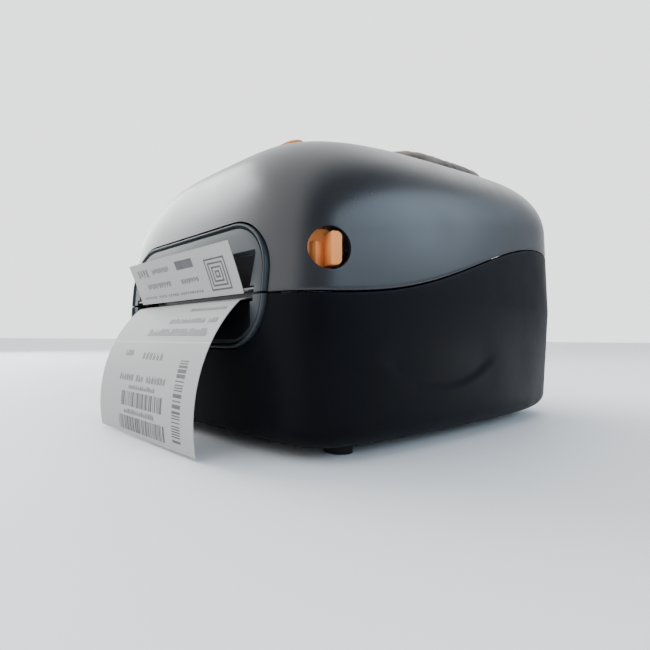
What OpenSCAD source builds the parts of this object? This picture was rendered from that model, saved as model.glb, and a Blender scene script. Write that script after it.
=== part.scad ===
// Desktop label maker: a clamshell case around a roll of labels, a platen roller,
// a hinged print head and an ink ribbon. Millimetres, front towards -Y, table at z = 0.

/* [Case] */
// Largest width of the case
case_w = 220; // [216:1:224]
// Depth of the case, front face to rear face
case_d = 284; // [280:1:288]
// Height of the middle of the cover above the table
case_h = 172; // [170:1:174]
// Width of the case at its front corners
front_w = 192; // [188:1:196]
// Width of the case at its rear corners
rear_w = 214; // [210:1:216]
// Height of the rubber feet below the case
foot_h = 5; // [4:0.5:6]
// Thickness of the case and cover walls
wall = 2.6; // [2.2:0.2:3]
// Radius of the rounded bottom edge
bottom_r = 11; // [9:1:12]

/* [Parting line] */
// Height of the parting line at the front
part_front = 76; // [75:1:77]
// Height of the parting line at the rear
part_rear = 118; // [116:1:119]
// Gap between the case and the cover along the parting line
part_gap = 0.6; // [0.5:0.1:0.8]

/* [Front bezel] */
// Width of the D-shaped bezel
bezel_w = 135; // [134:1:136]
// Height of the bezel
bezel_h = 64; // [63:1:65]
// Corner radius of the bezel
bezel_r = 27; // [25:1:28]
// Width of the label slot
slot_w = 118; // [116:1:120]

/* [Labels and ribbon] */
// Width of the label web
label_w = 104; // [100:1:104]
// Outer radius of the label roll
roll_r = 50; // [44:1:50]
// How far the hanging label stands out in front of the case
label_out = 28; // [26:1:30]
// Radius of the platen rubber
platen_r = 8; // [8:0.5:8]
// Width of the ink ribbon
ribbon_w = 106; // [104:1:108]

/* [Latches and button] */
// Radius of the round latch wells
latch_r = 9.8; // [9.4:0.1:10]
// Length of the feed button
button_len = 24; // [20:1:26]

/* [Hidden] */

$fn = 64;
hinge_r = 3.6;
y_front = (label_out - case_d - hinge_r + 1) / 2;
quarter = 7;
ring_n = 8 * quarter;
front_power = 7;
bottom_power = 12.5;
top_power = 4.5;
rear_power = 7;
side_round = 52;
front_round = 44;
rear_round = 22;
bezel_z = part_front + 5.5;
bezel_tilt = 5;
hinge_d = case_d - 1;
hinge_z = part_rear + 4.3;
hinge_x = 62;
platen_d = 18;
platen_z = 66.4;
roll_d = 188;
roll_z = 80;
core_r = 19;
guide_d = 50;
guide_z = 61.4;
film_t = 0.3;
frame_x = 62;
gear_x = 68;
motor_d = 62;
motor_z = 30;
sensor_d = 41;
sensor_z = 55;
supply_d = 100;
supply_z = 133;
head_pivot_d = 50;
head_pivot_z = 92;
latch_d = 18;
latch_z = 95.5;
latch_tilt = 26;
button_x = 36;
button_d = 44;
button_tilt = 12;
window_d1 = 112;
window_d2 = 240;
window_half = 74;
window_rise = 10;

// ---------- case surface ----------

function y_at(d) = y_front + d;
function clamp01(v) = min(1, max(0, v));
function quad(t, a, b, c) = a * (1 - t) * (1 - 2 * t) + 4 * b * t * (1 - t) + c * t * (2 * t - 1);
function depth_share(y) = (y - y_front) / case_d;
function half_w(y) = quad(depth_share(y), front_w / 2, case_w / 2, rear_w / 2);
function crown_z(y) = quad(depth_share(y), case_h - 8, case_h, case_h + 16);
function shoulder_z(y) = 100 + 42 * depth_share(y);
function side_lean(y) = 1.5 * (shoulder_z(y) - part_front) / 40;
function part_z(y) =
    part_front + (part_rear - part_front) * (1 - cos(180 * clamp01((y - y_at(15)) / 220))) / 2;

// One point of a unit superellipse, step 0 at the side and 2 * quarter at the end
function unit_pt(n, step) =
    let (s45 = pow(0.5, 1 / n), far = step > quarter,
         s = s45 * sin(90 * (far ? 2 * quarter - step : step) / quarter),
         c = pow(1 - pow(s, n), 1 / n))
    far ? [s, c] : [c, s];

// A point of the plan outline; index 0 is the middle of the front, then round by the right
function plan_pt(k, inset, front, rear, n_front, n_rear) =
    k > ring_n / 2
    ? let (p = plan_pt(ring_n - k, inset, front, rear, n_front, n_rear)) [-p.x, p.y]
    : let (at_front = k < 2 * quarter,
           u = at_front ? unit_pt(n_front, 2 * quarter - k) : unit_pt(n_rear, k - 2 * quarter),
           yf = y_front + front, yr = y_front + case_d - rear,
           y = (yf + yr) / 2 + (at_front ? -1 : 1) * u.y * (yr - yf) / 2)
      [(half_w(y) - inset) * u.x, y];

// Point k of the upright wall at height z, inset by the thickness w
function wall_pt(k, z, w) =
    let (g = clamp01((part_front - z) / (part_front - foot_h)),
         h = max(0, z - part_front) / 40,
         low = max(0, bottom_r - (z - foot_h)),
         r = bottom_r - sqrt(bottom_r * bottom_r - low * low) + w,
         p = plan_pt(k, 3 * g + 1.5 * h + r, 4.5 * g + 4 * h + r, 3 * g + h + r,
                     front_power + (bottom_power - front_power) * g, rear_power))
    [p.x, p.y, z];

function part_pt(k, w, off) =
    let (z1 = part_z(wall_pt(k, part_front, w).y) + off,
         z2 = part_z(wall_pt(k, z1, w).y) + off)
    wall_pt(k, z2, w);

// Point k of the domed shoulder at angle a, 0 on the wall and 90 on the crown
function shoulder_pt(k, a, w) =
    let (c = 1 - cos(a), s = sin(a),
         n_front = front_power + (top_power - front_power) * s,
         q = plan_pt(k, 0, 2.4 + w + front_round * c, 1.6 + w + rear_round * c, n_front, rear_power - 3 * s),
         span = half_w(q.y),
         foot = shoulder_z(q.y))
    [q.x * (span - side_lean(q.y) - w - side_round * c) / span, q.y, foot + (crown_z(q.y) - w - foot) * s];

// Height of the cover's outside over a point of its plan, away from its front and rear ends
function top_z(x, y) =
    let (c = min(1, (half_w(y) - side_lean(y) - abs(x)) / side_round))
    shoulder_z(y) + (crown_z(y) - shoulder_z(y)) * sqrt(1 - (1 - c) * (1 - c));

function wall_ring(z, w) = [for (k = [0:ring_n - 1]) wall_pt(k, z, w)];
function part_ring(w, off) = [for (k = [0:ring_n - 1]) part_pt(k, w, off)];
function shoulder_ring(a, w) = [for (k = [0:ring_n - 1]) shoulder_pt(k, a, w)];
function lower_mid_ring(w, f) =
    [for (k = [0:ring_n - 1])
        let (top = part_pt(k, w, -part_gap / 2).z)
        wall_pt(k, foot_h + bottom_r + (top - foot_h - bottom_r) * f, w)];
function upper_mid_ring(w, f) =
    [for (k = [0:ring_n - 1])
        let (low = part_pt(k, w, part_gap / 2).z, y = wall_pt(k, part_front, w).y)
        wall_pt(k, low + (shoulder_z(y) - low) * f, w)];

// A closed skin through rings of ring_n points. Flat ends are closed by a fan round their
// middle, and crowned ends by strips from side to side.
module skin(rings, flat_ends) {
    n = ring_n;
    last = len(rings) - 1;
    top = last * n;
    mid_start = (rings[0][0] + rings[0][n / 2]) / 2;
    mid_end = (rings[last][0] + rings[last][n / 2]) / 2;
    points = concat([for (r = rings) each r], [mid_start, mid_end]);
    sides = [for (i = [0:last - 1], k = [0:n - 1])
        let (k2 = (k + 1) % n, a = i * n + k, b = i * n + k2, c = a + n, d = b + n)
        each [[a, d, b], [a, c, d]]];
    strips = [for (k = [0:n / 2 - 1])
        let (a = k, b = k + 1, c = (n - k) % n, d = n - k - 1)
        each concat(k == 0 ? [] : [[a, b, c]], k == n / 2 - 1 ? [] : [[c, b, d]])];
    fans = [for (k = [0:n - 1]) each
        [[k, (k + 1) % n, top + n], [top + (k + 1) % n, top + k, top + n + 1]]];
    crowned = concat(strips, [for (f = strips) [f[0] + top, f[2] + top, f[1] + top]]);
    polyhedron(points, concat(sides, flat_ends ? fans : crowned), convexity = 6);
}

// ---------- small shared shapes ----------

module at(d, z) {
    translate([0, y_at(d), z]) children();
}

// A rod or disc along X from x1 to x2
module rod_x(x1, x2, r) {
    translate([x1, 0, 0]) rotate([0, 90, 0]) cylinder(h = x2 - x1, r = r);
}

module ring_x(x1, x2, r_out, r_in) {
    difference() {
        rod_x(x1, x2, r_out);
        rod_x(x1 - 1, x2 + 1, r_in);
    }
}

// A flat profile drawn in depth and height, extruded along X from x1 to x2
module profile_x(x1, x2) {
    translate([x1, y_front, 0]) rotate([90, 0, 90]) linear_extrude(x2 - x1) children();
}

module rounded_rect(w, h, r) {
    square([w - 2 * r, h], center = true);
    square([w, h - 2 * r], center = true);
    for (sx = [-1, 1], sy = [-1, 1])
        translate([sx * (w / 2 - r), sy * (h / 2 - r)]) circle(r);
}

// The bezel outline standing upright, from depth d1 to d2, grown by grow
module bezel_block(d1, d2, grow) {
    translate([0, y_at(d2), bezel_z]) rotate([90, 0, 0])
        linear_extrude(d2 - d1) rounded_rect(bezel_w + 2 * grow, bezel_h + 2 * grow, bezel_r + grow);
}

// Spur gear standing on its face, module 1, with one tooth centred at the angle first
module gear(thick, teeth, first, bore) {
    step = 360 / teeth;
    r = teeth / 2;
    points = [for (i = [0:teeth - 1]) each [
        for (c = [[-0.30, -1.15], [-0.11, 0.85], [0.11, 0.85], [0.30, -1.15]])
            let (a = first + (i + c[0]) * step) [(r + c[1]) * cos(a), (r + c[1]) * sin(a)]]];
    linear_extrude(thick) difference() {
        polygon(points);
        circle(bore);
    }
}

module gear_x(x1, x2, teeth, first, bore) {
    translate([x1, 0, 0]) rotate([90, 0, 90]) gear(x2 - x1, teeth, first, bore);
}

function heading(d1, z1, d2, z2) = atan2(z2 - z1, d2 - d1);
function meshed(heading_out, first, teeth_a, teeth_b) =
    heading_out + 180 - (first - heading_out) * teeth_a / teeth_b + 180 / teeth_b;

platen_teeth = 24;
idler_teeth = 42;
pinion_teeth = 12;
ribbon_teeth = 32;
takeup_teeth = 40;
gap_pm = 0.1;
reach_pi = (platen_teeth + idler_teeth) / 2 + gap_pm;
reach_im = (idler_teeth + pinion_teeth) / 2 + gap_pm;
span_pm = norm([motor_d - platen_d, motor_z - platen_z]);
head_pm = heading(platen_d, platen_z, motor_d, motor_z);
open_pm = acos((reach_pi * reach_pi + span_pm * span_pm - reach_im * reach_im) / (2 * reach_pi * span_pm));
head_pi = head_pm + open_pm;
idler_d = platen_d + reach_pi * cos(head_pi);
idler_z = platen_z + reach_pi * sin(head_pi);
idler_first = meshed(head_pi, head_pi, platen_teeth, idler_teeth);
head_im = heading(idler_d, idler_z, motor_d, motor_z);
pinion_first = meshed(head_im, idler_first, idler_teeth, pinion_teeth);
reach_pr = (platen_teeth + ribbon_teeth) / 2 + gap_pm;
head_pr = 58;
ribbon_d = platen_d + reach_pr * cos(head_pr);
ribbon_z = platen_z + reach_pr * sin(head_pr);
ribbon_first = meshed(head_pr, head_pi, platen_teeth, ribbon_teeth);
reach_rt = (ribbon_teeth + takeup_teeth) / 2 + gap_pm;
head_rt = 56;
takeup_at = [ribbon_d + reach_rt * cos(head_rt), ribbon_z + reach_rt * sin(head_rt)];
takeup_first = meshed(head_rt, ribbon_first, ribbon_teeth, takeup_teeth);

// ---------- base: case and bezel ----------

module lower_case() {
    color("#26282d") difference() {
        skin(concat(
            [for (a = [0:22.5:90]) wall_ring(foot_h + bottom_r * (1 - cos(a)), 0)],
            [lower_mid_ring(0, 0.35), lower_mid_ring(0, 0.7), part_ring(0, -part_gap / 2),
             part_ring(wall, -part_gap / 2), lower_mid_ring(wall, 0.5), wall_ring(foot_h + 8, wall),
             wall_ring(foot_h + 3, wall)]), true);
        bezel_block(-4, 12, 0.3);
        at(case_d - 12, 0) {
            translate([-86, 0, 26]) cube([28, 20, 20]);
            translate([-50, 0, 27]) cube([14, 20, 20]);
            translate([40, 0, 24]) cube([13, 20, 12]);
        }
        at(case_d - 12, 84) translate([-57, 0, 0]) cube([114, 20, 6]);
        for (sx = [-1, 1], d = [34, 250])
            at(d, foot_h - 1) translate([sx * 66, 0, 0]) cylinder(h = 6, r = 1.7);
        at(platen_d, platen_z) rod_x(gear_x - 0.6, gear_x + 4.6, platen_teeth / 2 + 1.6);
    }
}

module lower_bezel() {
    color("#3b3e44") difference() {
        intersection() {
            union() {
                bezel_block(0.3, 7, 0);
                bezel_block(-0.9, 7, -0.2);
            }
            translate([-80, y_at(-2), 20]) cube([160, 12, part_front - part_gap / 2 - 20]);
        }
        bezel_block(-2, 0.3, -2.6);
        profile_x(-slot_w / 2, slot_w / 2) polygon([[-3, 72.6], [8, 72.6], [8, 80], [-3, 80]]);
        profile_x(-54, 54) polygon([[-3, 50], [2.5, 58], [5, 74], [-3, 74]]);
    }
}

module rubber_feet() {
    color("#1b1b1c") for (sx = [-1, 1], d = [40, 244])
        at(d, 0) translate([sx * 78, 0, 0]) {
            cylinder(h = foot_h, r = 7);
        }
}

// Case half of each hinge: a leaf inside the rear wall and the middle knuckle
module base_hinges() {
    leaf = case_d - 5.4;
    color("#303238") for (sx = [-1, 1]) difference() {
        union() {
            at(hinge_d, hinge_z) rod_x(sx * hinge_x - 6, sx * hinge_x + 6, hinge_r);
            profile_x(sx * hinge_x - 6, sx * hinge_x + 6) polygon([
                [leaf - 2.4, 98], [leaf, 98], [leaf, part_rear + 0.3], [hinge_d, hinge_z - hinge_r + 0.1],
                [hinge_d, hinge_z], [leaf - 2.4, hinge_z]]);
        }
        at(hinge_d, hinge_z) rod_x(sx * hinge_x - 7, sx * hinge_x + 7, 1.5);
    }
}

module hinge_pins() {
    color("#b9bcc0") for (sx = [-1, 1]) at(hinge_d, hinge_z) rod_x(sx * hinge_x - 12.4, sx * hinge_x + 12.4, 1.45);
}

module case_screws() {
    color("#8d9095") for (sx = [-1, 1], d = [34, 250]) at(d, foot_h) translate([sx * 66, 0, 0]) {
        translate([0, 0, -1.6]) cylinder(h = 1.6, r = 3);
        translate([0, 0, -0.1]) cylinder(h = 9, r = 1.5);
    }
}

// ---------- base: inner works ----------

// Inner tray: the web ramps over it and the roll hangs above its floor
module media_deck() {
    color("#2d3036") difference() {
        union() {
            profile_x(-60, 60) polygon([
                [53, 57.6], [54, 60.6], [57, 60], [100, 47.4], [100, 45.6], [55, 57.4]]);
            profile_x(-70, 70) polygon([
                [98, 48.6], [160, 31.5], [176, 26], [261, 26], [261, 62], [264, 62],
                [264, 23], [175.5, 23], [159.5, 28.5], [98, 45.6]]);
            for (sx = [-1, 1]) {
                profile_x(sx * 70.5 - 1.5, sx * 70.5 + 1.5) polygon([
                    [98, 11], [264, 11], [264, 40], [172, 40], [110, 52], [98, 52]]);
                at(250, 14.2) translate([sx * 66, 0, 0]) cylinder(h = 10, r = 4.5);
            }
            at(roll_d, 15.6) cylinder(h = 8, r = 2);
        }
        at(roll_d, 20) for (sx = [-1, 1]) translate([sx * 59 - 7.5, -6, 0]) cube([15, 12, 8]);
        at(250, 13) for (sx = [-1, 1]) translate([sx * 66, 0, 0]) cylinder(h = 8, r = 1.35);
    }
}

module side_frame(sx) {
    color("#9a9da2") difference() {
        profile_x(sx > 0 ? frame_x : -frame_x - 2.5, sx > 0 ? frame_x + 2.5 : -frame_x) polygon([
            [11.5, 8.4], [86, 8.4], [86, 46], [58, 66], [30, 74], [9, 74], [9, 16]]);
        at(platen_d, platen_z) rod_x(-80, 80, 6);
        at(motor_d, motor_z) rod_x(-80, 80, 8);
    }
    if (sx > 0) color("#c9a24a") at(idler_d, idler_z) rod_x(frame_x + 2.5, gear_x + 5, 2);
}

module side_frame_left() { side_frame(-1); }
module side_frame_right() { side_frame(1); }

module latch_catches() {
    color("#8d9095") for (sx = [-1, 1]) at(0, 0) translate([sx * 77 - 2.5, 0, 0]) {
        translate([0, 10.6, 13]) cube([5, 2.4, 47]);
        translate([0, 10.6, 57]) cube([5, 3.4, 3]);
        translate([0, 12.8, 10.4]) cube([5, 10, 3.6]);
        translate([0, 15.2, 8.2]) cube([5, 7.6, 3]);
    }
}

module platen_bushes() {
    color("#e8e6df") for (sx = [-1, 1]) at(platen_d, platen_z) difference() {
        union() {
            rod_x(sx * 63.25 - 1.25, sx * 63.25 + 1.25, 6);
            rod_x(sx > 0 ? 60.5 : -62, sx > 0 ? 62 : -60.5, 7.2);
        }
        rod_x(-80, 80, 3.05);
    }
}

module guide_bar() {
    color("#b9bcc0") at(guide_d, guide_z) rod_x(-frame_x, frame_x, 2);
}

module sensor_rail() {
    color("#b9bcc0") at(sensor_d, sensor_z) rod_x(-frame_x, frame_x, 2);
}

module stepper_motor() {
    color("#5c5f66") difference() {
        union() {
            profile_x(38, frame_x) polygon([
                for (s = [[17.5, 13], [13, 17.5], [-13, 17.5], [-17.5, 13], [-17.5, -13], [-13, -17.5],
                          [13, -17.5], [17.5, -13]]) [motor_d + s[0], motor_z + s[1]]]);
            at(motor_d, motor_z) rod_x(frame_x, frame_x + 2.4, 7.8);
        }
        at(motor_d, motor_z) rod_x(frame_x - 8, frame_x + 10, 1.55);
    }
}

module main_board() {
    color("#1f6b3a") at(100, 10.5) translate([-54, 0, 0]) cube([108, 154, 1.6]);
    color("#2a2a2c") {
        at(130, 12.1) translate([-20, 0, 0]) cube([18, 18, 2]);
        at(160, 12.1) translate([10, 0, 0]) cube([14, 10, 1.6]);
        for (i = [0:3]) at(118, 12.1) translate([-46 + i * 11, 0, 0]) cylinder(h = 6, r = 3.5);
        for (i = [0:2]) at(222 + 8 * i, 12.1) translate([-30, 0, 0]) cube([16, 5, 6]);
    }
}

module power_inlet() {
    color("#1b1b1c") difference() {
        union() {
            at(case_d - 19, 26.05) translate([-85.95, 0, 0]) cube([27.9, 17, 19.9]);
        }
        at(case_d - 16, 29) translate([-83, 0, 0]) cube([22, 20, 14]);
    }
    color("#b9bcc0") for (i = [-1:1]) at(case_d - 17, 36) translate([-72 + 6 * i - 1, 0, 0])
        cube([2, 12, 4]);
}

module usb_socket() {
    color("#b9bcc0") difference() {
        at(case_d - 18, 24.4) translate([40.4, 0, 0]) cube([12.2, 17, 11.2]);
        at(case_d - 12, 25.6) translate([41.6, 0, 0]) cube([9.8, 20, 8.8]);
    }
    color("#f2f0ea") at(case_d - 13, 28.4) translate([43.8, 0, 0]) cube([5.4, 9, 3.2]);
}

module switch_housing() {
    color("#1b1b1c") difference() {
        at(case_d - 18, 27.4) translate([-49.6, 0, 0]) cube([13.2, 17.6, 19.2]);
        at(case_d - 12, 29) translate([-48, 0, 0]) cube([10, 20, 16]);
    }
}

module power_rocker() {
    color("#8f1d1b") at(case_d - 5, 37) difference() {
        intersection() {
            translate([-47.6, -5.5, -7.6]) cube([9.2, 12, 15.2]);
            rod_x(-47.6, -38.4, 7.4);
        }
        rod_x(-50, -30, 0.8);
    }
}

// ---------- label path ----------

// Under side of the web in depth and height, from the roll to the cut end
web_path = concat(
    [for (a = [-84:-10:-104]) [roll_d + roll_r * cos(a), roll_z + roll_r * sin(a)]],
    [[guide_d, guide_z + 2.2], [32, 71], [platen_d + 4, platen_z + platen_r + 0.1],
     [platen_d - 4, platen_z + platen_r + 0.2], [6, 75.2]],
    [for (a = [52:-4:-12]) [film_t - label_out + 68 * (1 - cos(a)), 16.6 + 72 * sin(a)]]);

function norm2(v) = v / norm(v);
function side_of(path, i) =
    let (a = path[max(0, i - 1)], b = path[min(len(path) - 1, i + 1)], t = norm2(b - a)) [t.y, -t.x];
// A thin band of thickness t along a path
function band(path, t) = concat(path, [for (i = [len(path) - 1:-1:0]) path[i] + t * side_of(path, i)]);

module label_web() {
    color("#f4f4f1") profile_x(-label_w / 2, label_w / 2) polygon(band(web_path, film_t));
}

slip_path = [for (t = [0:0.2:1]) let (u = 1 - t)
    [u * u * 0.7 + 2 * u * t * -2.5 + t * t * -9.6, u * u * 76.8 + 2 * u * t * 86 + t * t * 101]];

module printed_slip() {
    color("#f4f4f1") profile_x(-label_w / 2, label_w / 2) polygon(band(slip_path, film_t));
}

// ---------- moving pieces of the base ----------

module platen_rubber() {
    color("#3a3a3c") at(platen_d, platen_z) ring_x(-56, 56, platen_r, 3);
}

module platen_shaft() {
    color("#c7cacd") at(platen_d, platen_z) rod_x(-66, gear_x + 5, 3);
}

module platen_gear() {
    color("#e8e6df") at(platen_d, platen_z) gear_x(gear_x, gear_x + 4, platen_teeth, head_pi, 3);
}

module idler_gear() {
    color("#e8e6df") at(idler_d, idler_z) gear_x(gear_x, gear_x + 4, idler_teeth, idler_first, 2.05);
}

module motor_pinion() {
    color("#c9a24a") at(motor_d, motor_z) {
        gear_x(gear_x, gear_x + 4, pinion_teeth, pinion_first, 1.5);
        rod_x(frame_x - 6, gear_x + 5, 1.5);
    }
}

module gap_sensor() {
    color("#232326") at(sensor_d, sensor_z) difference() {
        translate([-7, -5, -4]) cube([14, 10, 8.5]);
        rod_x(-10, 10, 2.06);
    }
}

module roll_core() {
    color("#b9956a") at(roll_d, roll_z) ring_x(-label_w / 2, label_w / 2, core_r + 2.4, core_r);
}

module label_roll() {
    color("#f4f4f1") at(roll_d, roll_z)
        ring_x(-label_w / 2, label_w / 2, roll_r - film_t - 0.3, core_r + 2.4);
}

holder_pinion_teeth = 12;
rack_off = holder_pinion_teeth / 2 + gap_pm;

// Rack bar under the deck; teeth face the pinion in the middle
module rack(x1, x2) {
    pitch = PI;
    count = floor((x2 - x1 - 2) / pitch);
    first = ceil((x1 + 2) / pitch);
    translate([0, 0, 16]) linear_extrude(3) {
        translate([x1, -4.6]) square([x2 - x1, 3.5]);
        for (i = [first:first + count - 1])
            translate([(i + 0.5) * pitch, 0]) polygon([
                [-0.30 * pitch, -1.2], [-0.11 * pitch, 0.8], [0.11 * pitch, 0.8], [0.30 * pitch, -1.2]]);
    }
}

module roll_holder() {
    x1 = label_w / 2 + 1;
    at(roll_d, roll_z) difference() {
        union() {
            ring_x(x1, x1 + 2.6, 27, 8);
            ring_x(x1 - 14, x1 + 2.6, core_r - 0.4, 8);
        }
    }
    at(roll_d, 0) {
        translate([x1, -9, 26.4]) cube([2.6, 18, 30]);
        translate([x1, -4.6, 16]) cube([5, 9.2, 12]);
    }
}

module roll_holder_right() {
    color("#3b3e44") roll_holder();
    color("#3b3e44") at(roll_d - rack_off, 0) rack(-14, label_w / 2 + 3);
}

module roll_holder_left() {
    color("#3b3e44") mirror([1, 0, 0]) roll_holder();
    color("#3b3e44") at(roll_d + rack_off, 0) mirror([0, 1, 0]) mirror([1, 0, 0]) rack(-14, label_w / 2 + 3);
}

module holder_pinion() {
    color("#e8e6df") at(roll_d, 16) gear(3, holder_pinion_teeth, 90, 2.06);
}

// ---------- cover ----------

module latch_place(sx) {
    mirror([sx > 0 ? 0 : 1, 0, 0])
        translate([latch_face_x, y_at(latch_d), latch_z]) rotate([0, 0, -latch_tilt]) children();
}

latch_face_x = 91;

module button_place() {
    translate([button_x, y_at(button_d), button_face_z]) rotate([button_tilt, 0, 0]) children();
}

button_face_z = 165.1;

module stadium(len, w, h) {
    for (sx = [-1, 1]) translate([sx * (len - w) / 2, 0, 0]) cylinder(h = h, r = w / 2);
    translate([-(len - w) / 2, -w / 2, 0]) cube([len - w, w, h]);
}

module top_cover() {
    color("#2b2d32") difference() {
        union() {
            skin(concat(
                [for (a = [90:-11.25:11]) shoulder_ring(a, wall)],
                [upper_mid_ring(wall, 1), upper_mid_ring(wall, 0.5), part_ring(wall, part_gap / 2),
                 part_ring(0, part_gap / 2), upper_mid_ring(0, 0.5), upper_mid_ring(0, 1)],
                [for (a = [11.25:11.25:90]) shoulder_ring(a, 0)]), false);
        }
        bezel_block(-4, 12, 0.3);
        for (sx = [-1, 1]) latch_place(sx) translate([-12, 0, 0]) rotate([0, 90, 0])
            cylinder(h = 20, r = latch_r);
        button_place() translate([0, 0, -8]) stadium(button_len + 0.8, 12.8, 16);
        for (x = [20, 26]) button_place() translate([-x, 0, -8]) cylinder(h = 16, r = 1.6);
        translate([-window_half + 14, y_at(window_d1 + 12), case_h - 22])
            cube([2 * window_half - 28, window_d2 - window_d1 - 24, 40]);
        for (sx = [-1, 1]) at(case_d - 8, part_rear - 4) translate([sx * hinge_x - 12.8, 0, 0])
            cube([25.6, 20, hinge_z + hinge_r + 2.2 - part_rear + 4]);
    }
}

function dome_ring(a, w) = [for (k = [0:ring_n - 1])
    let (c = 1 - cos(a), s = sin(a),
         u = k > ring_n / 2
             ? let (v = unit_pt(5, abs(ring_n - k - 2 * quarter))) [-v.x, v.y]
             : unit_pt(5, abs(k - 2 * quarter)),
         sy = (k > 2 * quarter && k < ring_n - 2 * quarter) ? 1 : -1,
         mid = y_at((window_d1 + window_d2) / 2), half = (window_d2 - window_d1) / 2,
         y = mid + sy * u.y * (half - w - 16 * c),
         x = u.x * (window_half - w - 16 * c))
    [x, y, top_z(x, y) + 0.2 + (window_rise - w) * s]];

module cover_window() {
    color("#6b6a66") skin(concat(
        [for (a = [90:-22.5:0]) dome_ring(a, 2)],
        [for (a = [0:22.5:90]) dome_ring(a, 0)]), false);
}

module upper_bezel() {
    color("#3b3e44") translate([0, y_at(0.4), part_front]) rotate([-bezel_tilt, 0, 0])
        translate([0, -y_at(0.4), -part_front]) difference() {
            intersection() {
                union() {
                    bezel_block(0.3, 5.6, 0);
                    bezel_block(-0.9, 5.6, -0.2);
                }
                translate([-80, y_at(-2), part_front + 0.9]) cube([160, 12, 60]);
            }
            bezel_block(-2, 0.3, -2.6);
            profile_x(-slot_w / 2 - 0.5, slot_w / 2 + 0.5) polygon([[-3, 74], [8, 74], [8, 80.1], [-3, 80.1]]);
            profile_x(-58, 58) polygon([[-3, 78], [4.6, 78], [2.4, 100], [-3, 100]]);
        }
}

module tear_bar() {
    color("#c7cacd") profile_x(-slot_w / 2, slot_w / 2)
        polygon([[1.4, 78.4], [2.6, 77.9], [9, 78.6], [9, 79.4], [2.8, 79.3], [1.4, 79.3]]);
}

// Cover half of each hinge: two knuckles on leaves inside the rear wall of the cover
module cover_hinges() {
    leaf = case_d - 6.6;
    color("#303238") for (sx = [-1, 1], side = [-1, 1]) {
        x1 = sx * hinge_x + side * 9.3 - 2.9;
        difference() {
            union() {
                at(hinge_d, hinge_z) rod_x(x1, x1 + 5.8, hinge_r);
                profile_x(x1, x1 + 5.8) polygon([
                    [hinge_d, hinge_z], [hinge_d, hinge_z + hinge_r - 0.1], [leaf, hinge_z + 5.5],
                    [leaf, hinge_z + 18], [leaf - 2, hinge_z + 18], [leaf - 2, hinge_z]]);
            }
            at(hinge_d, hinge_z) rod_x(x1 - 1, x1 + 7, 1.5);
        }
    }
}

module ribbon_frame(sx) {
    x1 = sx > 0 ? 59 : -61.5;
    color("#44474d") difference() {
        profile_x(x1, x1 + 2.5) polygon([
            [24, 84], [58, 80], [118, 112], [122, 120], [122, 150], [44, 146], [36, 120], [24, 104]]);
        at(takeup_at[0], takeup_at[1]) rod_x(-80, 80, 5.06);
        at(supply_d, supply_z) rod_x(-80, 80, 5.06);
        at(head_pivot_d, head_pivot_z) rod_x(-80, 80, 2.06);
    }
}

module ribbon_frame_left() { ribbon_frame(-1); }
module ribbon_frame_right() {
    ribbon_frame(1);
    color("#c9a24a") at(ribbon_d, ribbon_z) rod_x(61.5, gear_x + 5, 2);
}

// Cross plate between the ribbon frames; the head springs press against it
module head_bracket() {
    color("#9a9da2") profile_x(-58.9, 58.9) polygon([
        [36, 102], [62, 102], [62, 108], [60, 108], [60, 104], [38, 104], [38, 108], [36, 108]]);
}

module cover_board() {
    color("#1f6b3a") button_place() {
        translate([-28, -3, -12.6]) cube([48, 18, 1.6]);
        translate([-3, -2.5, -11]) cube([6, 6, 2]);
    }
}

module led_lenses() {
    color("#9fd0a8") for (x = [20, 26]) button_place() translate([-x, 0, -5]) cylinder(h = 5.6, r = 1.5);
}

// The ink ribbon leaves the supply roll, passes under the head and rises to the take-up roll
film_path = [takeup_at + 12.3 * [cos(146), sin(146)], [12.4, 80.4], [12.8, 76.4], [24, 75.9],
             [supply_d, supply_z] + 22.3 * [cos(-66), sin(-66)]];

module ribbon_film() {
    color("#141416") profile_x(-ribbon_w / 2, ribbon_w / 2) polygon(band(film_path, 0.15));
}

module head_cable() {
    color("#d9d9d6") profile_x(-20, 20) polygon(band([[56, 96], [66, 98], [68, 112], [72, 153], [76, 158]], 0.4));
}

// ---------- moving pieces of the cover ----------

module latch() {
    translate([-12, 0, 0]) rotate([0, 90, 0]) intersection() {
        cylinder(h = 2.4, r = latch_r + 0.8);
        translate([-12, -10.6, -1]) cube([24, 15, 5]);
    }
    intersection() {
        translate([-10, 0.6, -7.6]) cube([9.4, 5.2, 15.2]);
        translate([-12, -2.1, 0]) rotate([0, 90, 0]) cylinder(h = 20, r = latch_r - 0.2);
    }
}

module latch_arm() {
    translate([74.5, y_at(latch_d), latch_z]) {
        translate([0, -1.4, -8]) cube([9, 4, 12]);
        translate([0, -1.4, -41.4]) cube([5, 3, 36]);
        translate([0, -2.2, -41.4]) cube([5, 3, 2.6]);
    }
}

module latch_right() {
    color("#d9752a") {
        latch_place(1) latch();
        latch_arm();
    }
}

module latch_left() {
    color("#d9752a") {
        latch_place(-1) latch();
        mirror([1, 0, 0]) latch_arm();
    }
}

module feed_button() {
    color("#d9752a") button_place() translate([0, 0, -5]) stadium(button_len, 12, 6.2);
}

module print_head() {
    color("#a9acb0") {
        profile_x(-56, 56) polygon([
            [15.6, 76.8], [24, 76.8], [30, 80.5], [44, 88], [53, 92], [53, 96], [30, 96], [20, 86],
            [15.6, 79]]);
        at(head_pivot_d, head_pivot_z) rod_x(-61, 61, 2);
    }
}

module head_springs() {
    color("#b9bcc0") for (sx = [-1, 1]) at(44, 96.1) translate([sx * 34, 0, 0]) difference() {
        cylinder(h = 5.8, r = 4);
        translate([0, 0, -1]) cylinder(h = 8, r = 3);
    }
}

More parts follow.
